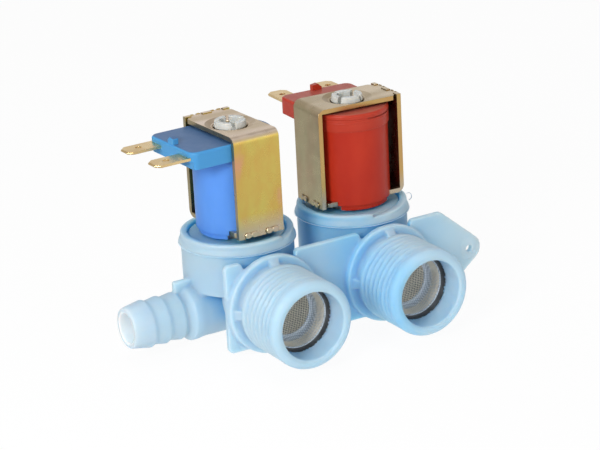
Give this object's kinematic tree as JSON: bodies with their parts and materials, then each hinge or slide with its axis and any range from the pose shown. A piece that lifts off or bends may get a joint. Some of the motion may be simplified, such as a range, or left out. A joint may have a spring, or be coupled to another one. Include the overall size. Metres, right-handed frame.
{
  "type": "washing machine inlet valve",
  "caption": "Water inlet valve: threaded cold and hot inlets, a solenoid with spade terminals over each chamber, a plate with a screw lug, and a barbed outlet.",
  "frame": {"origin": "on the mounting plate's front face, half way between the two inlet axes", "axes": "-Y out of the threaded inlets, +Z along the solenoids towards their snap ends, +X from the hose barb towards the screw lug"},
  "size_m": [0.1149, 0.0753, 0.0675],
  "materials": {
    "body": "satin, slightly translucent polypropylene",
    "cold_coil": "semi-gloss moulding",
    "hot_coil": "semi-gloss moulding",
    "yoke_steel": "yellow chromate over zinc, iridescent",
    "terminal": "plain stamped strip",
    "screen_steel": "woven stainless wire",
    "rubber": "moulded, dull",
    "insert_plastic": "natural nylon",
    "guide_plastic": "natural nylon",
    "plunger_steel": "turned stainless",
    "winding": "enamelled copper wire"
  },
  "bodies": {
    "valve": {"valve_body": "body", "cold_inlet_screen": "screen_steel", "cold_flow_washer": "rubber", "cold_diaphragm": "rubber", "cold_guide_tube": "guide_plastic", "cold_plunger_spring": "plunger_steel", "cold_locking_ring": "body", "cold_bobbin": "guide_plastic", "cold_winding": "winding", "cold_coil_cover": "cold_coil", "cold_terminal_a": "terminal", "cold_terminal_b": "terminal", "cold_yoke_upper": "yoke_steel", "cold_yoke_lower": "yoke_steel", "hot_inlet_screen": "screen_steel", "hot_flow_washer": "rubber", "hot_diaphragm": "rubber", "hot_guide_tube": "guide_plastic", "hot_plunger_spring": "plunger_steel", "hot_locking_ring": "body", "hot_bobbin": "guide_plastic", "hot_winding": "winding", "hot_coil_cover": "hot_coil", "hot_terminal_a": "terminal", "hot_terminal_b": "terminal", "hot_yoke_upper": "yoke_steel", "hot_yoke_lower": "yoke_steel"},
    "cold_plunger": {"cold_plunger": "plunger_steel", "cold_plunger_tip": "rubber"},
    "cold_insert": {"cold_diaphragm_insert": "insert_plastic"},
    "hot_plunger": {"hot_plunger": "plunger_steel", "hot_plunger_tip": "rubber"},
    "hot_insert": {"hot_diaphragm_insert": "insert_plastic"}
  },
  "joints": [
    {"name": "cold_plunger_lift", "type": "slide", "parent": "valve", "child": "cold_plunger", "axis": [0, 0, 1], "range_m": [0, 0.0024], "stiffness_N_per_m": 100, "springref_m": -0.01, "deforming": ["cold_plunger_spring"]},
    {"name": "cold_diaphragm_lift", "type": "slide", "parent": "valve", "child": "cold_insert", "axis": [0, 0, 1], "range_m": [0, 0.0012], "deforming": ["cold_diaphragm"]},
    {"name": "hot_plunger_lift", "type": "slide", "parent": "valve", "child": "hot_plunger", "axis": [0, 0, 1], "range_m": [0, 0.0024], "stiffness_N_per_m": 100, "springref_m": -0.01, "deforming": ["hot_plunger_spring"]},
    {"name": "hot_diaphragm_lift", "type": "slide", "parent": "valve", "child": "hot_insert", "axis": [0, 0, 1], "range_m": [0, 0.0012], "deforming": ["hot_diaphragm"]}
  ],
  "couplings": [
    {"joint": "cold_diaphragm_lift", "follows": "cold_plunger_lift", "ratio": 0.5},
    {"joint": "hot_diaphragm_lift", "follows": "hot_plunger_lift", "ratio": 0.5}
  ]
}
